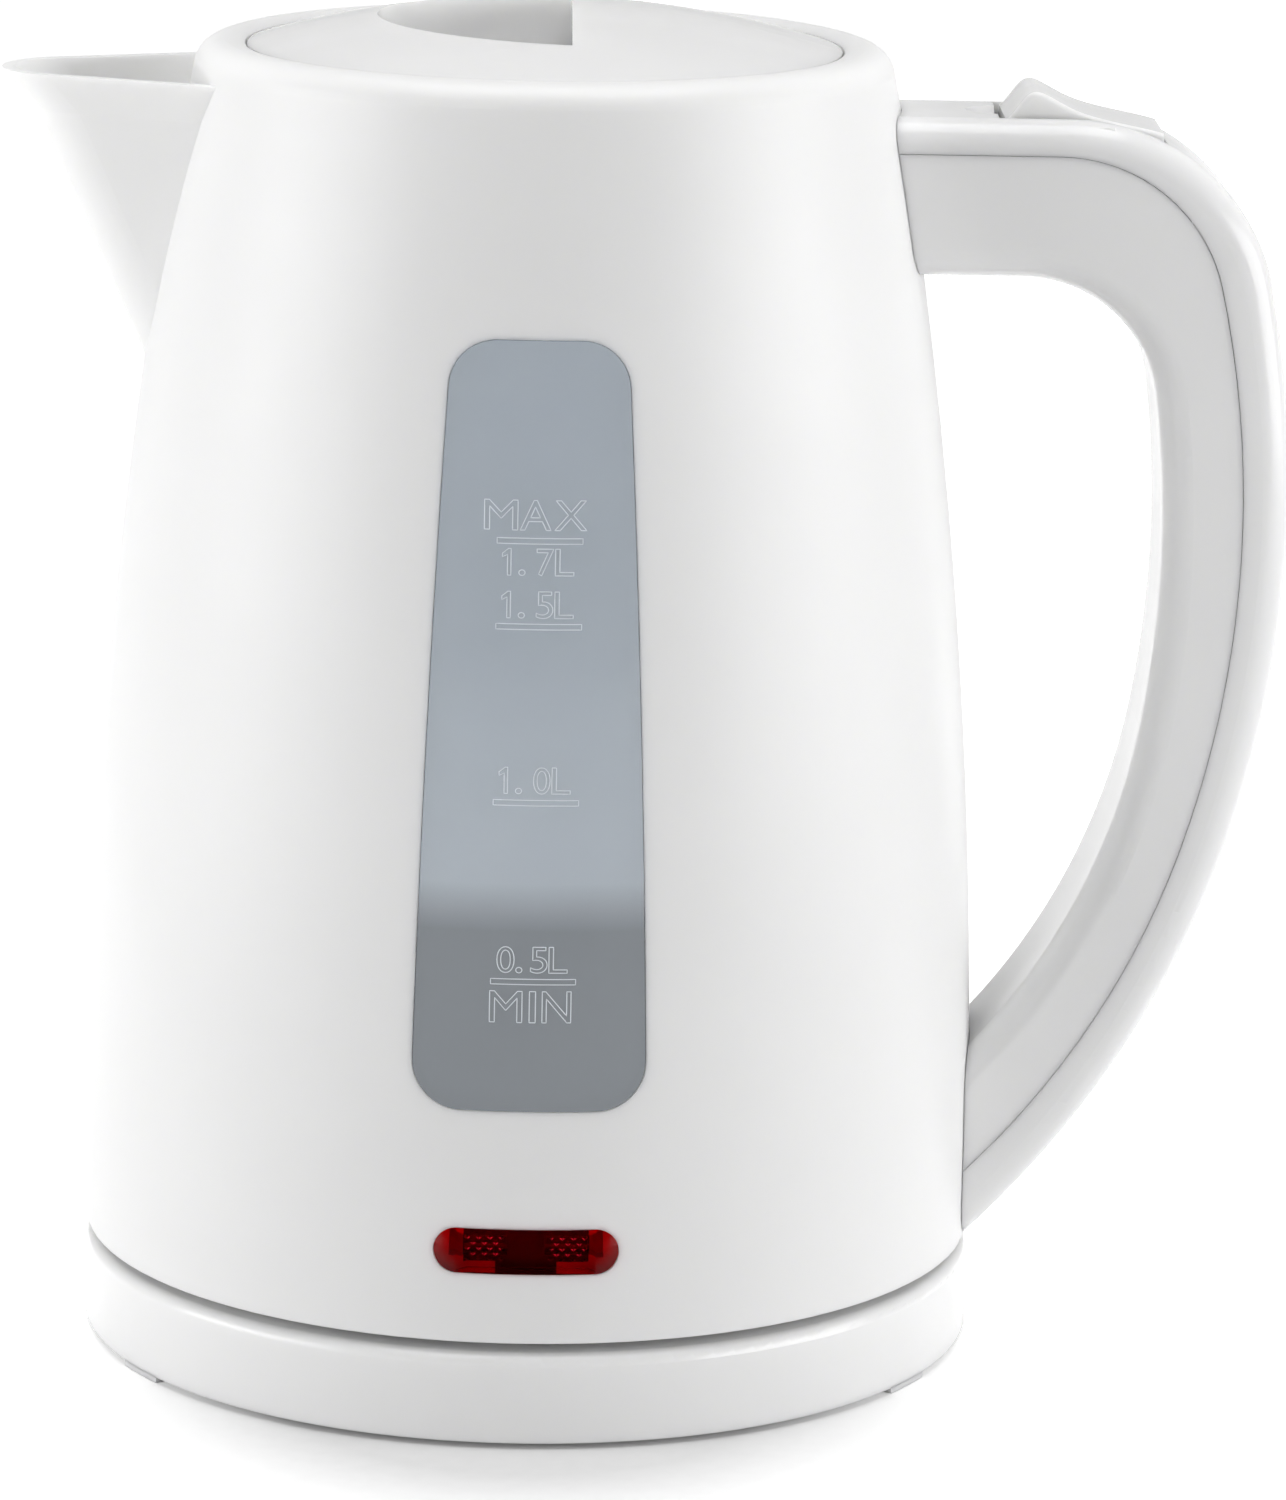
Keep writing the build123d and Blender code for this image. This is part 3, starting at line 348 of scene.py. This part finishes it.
def make_matt(name, first, second, rough_low, rough_high, grain_scale, grain_depth):
    """A finish without shine, with a grain of a real depth in metres."""
    material, tree, shader = start_finish(name, IOR=matt_ior)
    place = object_place(tree)
    feed(
        tree, shader,
        Base_Color=tint(tree, cloud(tree, place, 70.0), first, second),
        Roughness=spread(tree, cloud(tree, place, 220.0), rough_low, rough_high),
    )
    ripple(tree, shader, cloud(tree, place, grain_scale), grain_depth, 0.4)
    return material


black_plastic = make_matt(
    "black_plastic", (0.018, 0.018, 0.019), (0.032, 0.032, 0.033), 0.42, 0.58, 1500.0, 0.04 * MM,
)
silicone = make_matt(
    "silicone", (0.66, 0.66, 0.64), (0.74, 0.74, 0.72), 0.48, 0.62, 700.0, 0.03 * MM,
)
wire_sleeve = make_matt(
    "wire_sleeve", (0.70, 0.69, 0.66), (0.82, 0.81, 0.78), 0.65, 0.85, 1200.0, 0.12 * MM,
)
print("made three matt finishes")

# %% [markdown]
# ## The lamp's carrier
# Behind the red lens lies a carrier that is pale at its ends and along its lower edge, with a dark
# block in the middle for the two bulbs. Where the lens looks onto the pale part it glows red, and
# over the block it is nearly black. One material does both: the place on the carrier decides
# between the two colours.

# %% The lamp's carrier
block_half = 10.2 * MM  # the dark block's half length
foot_half = 5.0 * MM  # half length of the part that reaches the lower edge
strip_height = 2.8 * MM  # how far under the middle the pale strips start


def make_lamp_carrier():
    """Dark plastic with pale ends and pale strips along its lower edge."""
    material, tree, shader = start_finish("lamp_carrier", IOR=matt_ior)
    place = add_node(tree, "ShaderNodeTexCoord").outputs["Object"]
    axes = axes_of(tree, place)
    low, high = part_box("lamp_lens")
    strip_top = (low.z + high.z) / 2 - strip_height

    aside = number(tree, "ABSOLUTE", axes["X"])
    pale_end = number(tree, "GREATER_THAN", aside, block_half)
    beside_foot = number(tree, "GREATER_THAN", aside, foot_half)
    low_down = number(tree, "LESS_THAN", axes["Z"], strip_top)
    pale_strip = number(tree, "MULTIPLY", low_down, beside_foot)
    pale = number(tree, "MAXIMUM", pale_end, pale_strip)
    speckle = cloud(tree, place, 400.0)
    shade = number(
        tree, "ADD", number(tree, "MULTIPLY", pale, 0.6), number(tree, "MULTIPLY", speckle, 0.3),
    )
    feed(
        tree, shader,
        Base_Color=tint(tree, shade, (0.012, 0.012, 0.012), (0.82, 0.82, 0.80)),
        Roughness=spread(tree, speckle, 0.45, 0.6),
    )
    return material


lamp_carrier = make_lamp_carrier()
print("made", lamp_carrier.name)

# %% [markdown]
# ## Dressing the solids
# Each solid carries the name of its material slot in the record, so a table from slot to finish
# dresses them all, and the few that look different from their slot are named one by one.

# %% Dress the solids
finish_of_slot = {
    "white_plastic": white_plastic,
    "clear_plastic": window_plastic,
    "red_lens": lens_plastic,
    "dark_plastic": black_plastic,
    "brass": contact_brass,
    "steel": plain_steel,
    "aluminium": pressed_aluminium,
    "bimetal": snap_disc_metal,
    "silicone": silicone,
    "wire_sleeve": wire_sleeve,
    "bulb_glass": bulb_glass,
}
special_finish = {
    "body_shell": jug_plastic,
    "heater_plate": floor_steel,
    "lamp_holder": lamp_carrier,
}
subparts = frame["record"]["subparts"]
for subpart in subparts:
    name = subpart["node"]
    solid = nodes[name]
    solid.data.materials.clear()
    finish = special_finish.get(name, finish_of_slot[subpart["material_slot"]])
    solid.data.materials.append(finish)
print("dressed", len(subparts), "solids")

# %% [markdown]
# ## Tools for the level marks
# The marks are moulded into the window: letters that stand up a little, whose edges catch the
# light, so what the eye sees is their outline. A text object gives the outline of each letter, and
# a curve with a round bevel turns it into a fine bead. The outline is taken as loops of points and
# cut into short strokes, so that a straight line can bend with the window.

# %% Tools for the level marks
bead_radius = 0.09 * MM
stroke_length = 0.5 * MM
arc_points = 7
window_face = BVHTree.FromObject(
    nodes["water_window"], bpy.context.evaluated_depsgraph_get(),
)


def on_window(x, z):
    """How deep the window's outer face lies behind a point in front of it."""
    hit = window_face.ray_cast(Vector((x, -1.0, z)), Vector((0.0, 1.0, 0.0)))[0]
    return hit.y


def mesh_of(curve):
    """A plain mesh of a curve with its bevel."""
    holder = bpy.data.objects.new(curve.name, curve)
    bpy.context.scene.collection.objects.link(holder)
    shaped = holder.evaluated_get(bpy.context.evaluated_depsgraph_get())
    mesh = bpy.data.meshes.new_from_object(shaped)
    bpy.data.objects.remove(holder)
    return mesh


def bead_along(loops):
    """A round bead along closed loops, in strokes short enough to follow the window's curve."""
    curve = bpy.data.curves.new("beads", "CURVE")
    curve.dimensions = "3D"
    curve.fill_mode = "FULL"
    curve.bevel_depth = bead_radius
    curve.bevel_resolution = 2
    for loop in loops:
        points = []
        for start, end in zip(loop, loop[1:] + loop[:1]):
            strokes = max(1, math.ceil((end - start).length / stroke_length))
            points += [start.lerp(end, stroke / strokes) for stroke in range(strokes)]
        spline = curve.splines.new("POLY")
        spline.points.add(len(points) - 1)
        for point, spot in zip(spline.points, points):
            point.co = (*spot, 0.0, 1.0)
        spline.use_cyclic_u = True
    return curve


def letter_loops(letter):
    """The outline of a letter as loops of points."""
    text = bpy.data.curves.new("letter", "FONT")
    text.body = letter
    holder = bpy.data.objects.new("letter", text)
    bpy.context.scene.collection.objects.link(holder)
    outline = holder.to_curve(bpy.context.evaluated_depsgraph_get()).copy()
    bpy.data.objects.remove(holder)
    loops = []
    for spline in outline.splines:
        knots = list(spline.bezier_points)
        loop = []
        for knot, after in zip(knots, knots[1:] + knots[:1]):
            arc = interpolate_bezier(
                knot.co, knot.handle_right, after.handle_left, after.co, arc_points,
            )
            loop += [spot.xy for spot in arc[:-1]]
        loops.append(loop)
    return loops


def fit_loops(loops, left, right, base, tall):
    """Stretch loops into their box on the window."""
    across = [spot[0] for loop in loops for spot in loop]
    up = [spot[1] for loop in loops for spot in loop]
    corner = Vector((min(across), min(up)))
    grow = Vector(((right - left) / (max(across) - corner.x), tall / (max(up) - corner.y)))
    start = Vector((left, base))
    return [[start + (Vector(spot) - corner) * grow for spot in loop] for loop in loops]


print("beads are", round(2 * bead_radius / MM, 2), "mm thick")

# %% [markdown]
# ## The level marks
# Each line of the table holds its letters, where each letter starts and ends, the height of its
# foot and how tall the letters are, in millimetres. Some lines have a bar under them. Every bead is
# laid on the window by looking straight at it from the front, so the marks follow its curve
# wherever the window goes.

# %% The level marks
number_places = ((-5.6, -4.2), (-2.9, -1.9), (0.0, 2.7), (3.0, 6.0))
mark_lines = [
    ("MAX", ((-8.6, -3.2), (-2.8, 2.2), (2.8, 8.0)), 153.6, 4.8),
    ("1.7L", number_places, 146.3, 4.3),
    ("1.5L", number_places, 139.4, 4.3),
    ("1.0L", number_places, 110.8, 4.3),
    ("0.5L", ((-5.5, -2.7), (-2.4, -1.4), *number_places[2:]), 81.2, 4.3),
    ("MIN", ((-6.6, -1.3), (-0.1, 0.9), (2.0, 6.7)), 72.9, 5.2),
]
dot_height = 0.9
bar_middles = (151.85, 138.0, 109.3, 79.7)
bar_left, bar_right = -6.5, 7.4
bar_height = 0.9
square = ((0, 0), (1, 0), (1, 1), (0, 1))
figure_one = ((0.6, 0), (1, 0), (1, 1), (0.7, 1), (0, 0.82), (0, 0.68), (0.6, 0.78))

beads = []
for letters, places, foot, tall in mark_lines:
    for letter, (left, right) in zip(letters, places):
        rise = dot_height if letter == "." else tall
        loops = [figure_one] if letter == "1" else letter_loops(letter)
        beads.append(bead_along(fit_loops(loops, left * MM, right * MM, foot * MM, rise * MM)))
for bar_middle in bar_middles:
    bar_foot = (bar_middle - bar_height / 2) * MM
    bar = fit_loops([square], bar_left * MM, bar_right * MM, bar_foot, bar_height * MM)
    beads.append(bead_along(bar))

marks_mesh = bmesh.new()
for bead in beads:
    marks_mesh.from_mesh(mesh_of(bead))
for vertex in marks_mesh.verts:
    x, z, lift = vertex.co
    vertex.co = (x, on_window(x, z) - lift, z)
bmesh.ops.recalc_face_normals(marks_mesh, faces=marks_mesh.faces)
level_marks_data = bpy.data.meshes.new("level_marks")
marks_mesh.to_mesh(level_marks_data)
marks_mesh.free()
level_marks_data.polygons.foreach_set("use_smooth", [True] * len(level_marks_data.polygons))
level_marks_data.materials.append(mark_plastic_and_highlight)
level_marks = bpy.data.objects.new("level_marks", level_marks_data)
bpy.context.scene.collection.objects.link(level_marks)
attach(level_marks, "jug")
print("level marks:", len(beads), "beads,", len(level_marks_data.polygons), "faces")

# %% [markdown]
# ## The lamp's faceted lens
# On the real lamp two patches of small diamonds are pressed into the back of the lens, to break up
# the light of the bulbs. They could be faked with a bump, but seen through clear plastic only real
# facets bend the view. So the lens is copied from its solid and small four-sided pits are cut into
# its back with a boolean.

# %% The lamp's faceted lens
diamond_pitch = 1.85 * MM
diamond_depth = 0.31 * MM
diamond_radius = 0.28 * diamond_pitch
diamond_columns = 4
diamond_rows = 3
patch_middle = 6.8 * MM
patch_drop = 0.5 * MM  # how far the patches lie under the lens's middle
overshoot = 0.02 * MM  # how far a pit's tool sticks out of the back, for a clean cut

lens_low, lens_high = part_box("lamp_lens")
lens_middle = (lens_low.z + lens_high.z) / 2 - patch_drop
pit_y = lens_high.y - diamond_depth / 2 + overshoot
stand_up = Matrix.Rotation(math.radians(90.0), 4, "X")
pits = bmesh.new()
for side in (-1, 1):
    for row in range(2 * diamond_rows - 1):
        shift = diamond_pitch / 2 * (row % 2)
        for column in range(diamond_columns - row % 2):
            across = (column - (diamond_columns - 1) / 2) * diamond_pitch + shift
            x = side * patch_middle + across
            z = lens_middle + (row - diamond_rows + 1) * diamond_pitch / 2
            pit = bmesh.ops.create_cone(
                pits, cap_ends=True, segments=4,
                radius1=diamond_radius, radius2=0.0, depth=diamond_depth,
            )
            place = Matrix.Translation((x, pit_y, z))
            bmesh.ops.transform(pits, matrix=place @ stand_up, verts=pit["verts"])
pits_data = bpy.data.meshes.new("lens_pits")
pits.to_mesh(pits_data)
pits.free()
pits_tool = bpy.data.objects.new("lens_pits", pits_data)
bpy.context.scene.collection.objects.link(pits_tool)

lamp_prisms = bpy.data.objects.new("lamp_prisms", nodes["lamp_lens"].data.copy())
bpy.context.scene.collection.objects.link(lamp_prisms)
cut = lamp_prisms.modifiers.new("pits", "BOOLEAN")
cut.operation = "DIFFERENCE"
cut.solver = "EXACT"
cut.object = pits_tool
cut_lens = lamp_prisms.evaluated_get(bpy.context.evaluated_depsgraph_get())
cut_mesh = bpy.data.meshes.new_from_object(cut_lens)
lamp_prisms.modifiers.clear()
lamp_prisms.data = cut_mesh
bpy.data.objects.remove(pits_tool)
lamp_prisms.data.materials.clear()
lamp_prisms.data.materials.append(lens_plastic)
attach(lamp_prisms, "jug")
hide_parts("lamp_lens")
print("lens:", len(cut_mesh.polygons), "faces")

# %% [markdown]
# ## The woven filter
# The scale filter behind the spout is woven steel wire. The solid is a sheet with square holes,
# which is all that a strength or flow model needs. Here two sets of wires go over and under each
# other: each is a wave whose crest meets the other set's trough.

# %% The woven filter
wire_radius = 0.16 * MM
wire_pitch = 1.3 * MM

mesh_low, mesh_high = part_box("filter_mesh")
mesh_middle = (mesh_low + mesh_high) / 2
lean = math.atan2(mesh_high.x - mesh_low.x, mesh_high.z - mesh_low.z)
upward = Vector((math.sin(lean), 0.0, math.cos(lean)))
sideways = Vector((0.0, 1.0, 0.0))
outward = sideways.cross(upward)
half_span = (mesh_high.y - mesh_low.y) / 2 - wire_radius
wire_count = int(2 * half_span / wire_pitch)
weave_curve = bpy.data.curves.new("filter_weave", "CURVE")
weave_curve.dimensions = "3D"
weave_curve.bevel_depth = wire_radius
weave_curve.bevel_resolution = 1
for run, cross, phase in ((sideways, upward, 0), (upward, sideways, 1)):
    for wire in range(wire_count):
        offset = (wire - (wire_count - 1) / 2) * wire_pitch
        spline = weave_curve.splines.new("NURBS")
        spline.points.add(wire_count - 1)
        for step, point in enumerate(spline.points):
            along = (step - (wire_count - 1) / 2) * wire_pitch
            wave = wire_radius * (1 if (step + wire + phase) % 2 else -1)
            spot = mesh_middle + run * along + cross * offset + outward * wave
            point.co = (*spot, 1.0)
        spline.order_u = 3
        spline.use_endpoint_u = True
weave_mesh = mesh_of(weave_curve)
weave_mesh.polygons.foreach_set("use_smooth", [True] * len(weave_mesh.polygons))
weave_mesh.materials.clear()
weave_mesh.materials.append(plain_steel)
filter_weave = bpy.data.objects.new("filter_weave", weave_mesh)
bpy.context.scene.collection.objects.link(filter_weave)
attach(filter_weave, "jug")
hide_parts("filter_mesh")
print("weave:", 2 * wire_count, "wires")

# %% [markdown]
# ## The paper floor
# The kettle stands on white paper. A pale floor that is bright enough to look white would also
# throw much light up at the kettle, so the paper is a light grey, and a little light that only the
# camera, mirrors and clear plastic see lifts it to white. The lift is weak close to the kettle, so
# that the shadow at its foot stays.

# %% The paper floor
white = (1.0, 1.0, 1.0, 1.0)
floor_half = 6.0
floor_drop = 0.05 * MM
lift_middle = (0.0, -0.05, 0.0)
lift_start, lift_end = 0.04, 0.1  # metres from the middle
lift_least, lift_most = 0.04, 0.8


def seen_directly(tree):
    """1 for rays from the camera, a mirror or through something clear."""
    path = tree.nodes.new("ShaderNodeLightPath").outputs
    both = number(tree, "MAXIMUM", path["Is Camera Ray"], path["Is Glossy Ray"])
    return number(tree, "MAXIMUM", both, path["Is Transmission Ray"])


floor_data = bpy.data.meshes.new("paper_floor")
corner_signs = ((-1, -1), (1, -1), (1, 1), (-1, 1))
floor_corners = [(x * floor_half, y * floor_half, 0.0) for x, y in corner_signs]
floor_data.from_pydata(floor_corners, [], [(0, 1, 2, 3)])
floor = bpy.data.objects.new("paper_floor", floor_data)
floor.location.z = -floor_drop
bpy.context.scene.collection.objects.link(floor)
paper, paper_tree, paper_shader = start_finish(
    "paper", Roughness=0.9, Specular_IOR_Level=0.0, Emission_Color=white,
)
paper_grain = cloud(paper_tree, object_place(paper_tree), 300.0)
paper_colour = tint(paper_tree, paper_grain, (0.73, 0.73, 0.73), (0.75, 0.75, 0.75))
paper_place = add_node(paper_tree, "ShaderNodeTexCoord").outputs["Object"]
away = reckon(paper_tree, "ShaderNodeVectorMath", "DISTANCE", paper_place, lift_middle)["Value"]
fade = map_range(paper_tree, away, lift_start, lift_end, lift_least, lift_most)
lift = number(paper_tree, "MULTIPLY", seen_directly(paper_tree), fade)
feed(paper_tree, paper_shader, Base_Color=paper_colour, Emission_Strength=lift)
floor_data.materials.append(paper)
print("floor", 2 * floor_half, "m wide")

# %% [markdown]
# ## The room
# The light that comes from all around is uneven, as in a real studio: dim behind the camera, so
# that the front of the jug keeps a gentle shade, and brighter behind the kettle, which lights its
# sides. Overhead it is a little dimmer again. The camera itself sees plain white behind the paper.

# %% The room
dim_y, bright_y = -0.9, 0.6
dim_wall, bright_wall = 0.08, 0.56
ceiling_start, ceiling_end = 0.26, 0.36
ceiling_shade = 0.7

world = bpy.data.worlds.new("studio")
bpy.context.scene.world = world
world.use_nodes = True
world_tree = world.node_tree
way = add_node(world_tree, "ShaderNodeTexCoord").outputs["Generated"]
toward = axes_of(world_tree, way)
wall = map_range(world_tree, toward["Y"], dim_y, bright_y, dim_wall, bright_wall)
ceiling = map_range(world_tree, toward["Z"], ceiling_start, ceiling_end, 1.0, ceiling_shade)
fill = world_tree.nodes["Background"]
plug(world_tree, fill.inputs["Color"], white)
plug(world_tree, fill.inputs["Strength"], number(world_tree, "MULTIPLY", wall, ceiling))
backdrop = add_node(world_tree, "ShaderNodeBackground", Color=white, Strength=1.0)
choice = world_tree.nodes.new("ShaderNodeMixShader")
camera_sees = world_tree.nodes.new("ShaderNodeLightPath").outputs["Is Camera Ray"]
chosen = (camera_sees, fill.outputs["Background"], backdrop.outputs["Background"])
for socket, source in zip(choice.inputs, chosen):
    world_tree.links.new(source, socket)
world_tree.links.new(choice.outputs["Shader"], world_tree.nodes["World Output"].inputs["Surface"])
print("made the room", world.name)

# %% [markdown]
# ## Soft boxes
# Two wide soft boxes stand at the sides, a little in front of the kettle, and a third hangs over
# it. Large lamps near the object give the soft edge of every shade in the picture, and the two at
# the sides draw the long pale bands on the jug.

# %% Soft boxes
aim = Vector((0.0, 0.0, 0.12))
side_reach, side_y, side_z = 1.2, -0.38, 0.28
side_size = (1.1, 0.7)


def soft_box(name, place, size, power):
    """A rectangular light that looks at the middle of the jug."""
    light = bpy.data.lights.new(name, "AREA")
    light.shape = "RECTANGLE"
    light.size, light.size_y = size
    light.energy = power
    lamp = bpy.data.objects.new(name, light)
    lamp.location = place
    lamp.rotation_euler = (aim - lamp.location).to_track_quat("-Z", "Y").to_euler()
    bpy.context.scene.collection.objects.link(lamp)


soft_box("left_soft_box", (-side_reach, side_y, side_z), side_size, 9.8)
soft_box("right_soft_box", (side_reach, side_y, side_z), side_size, 10.0)
soft_box("top_soft_box", (0.0, -0.1, 1.45), (1.2, 1.0), 12.2)
print("three soft boxes")
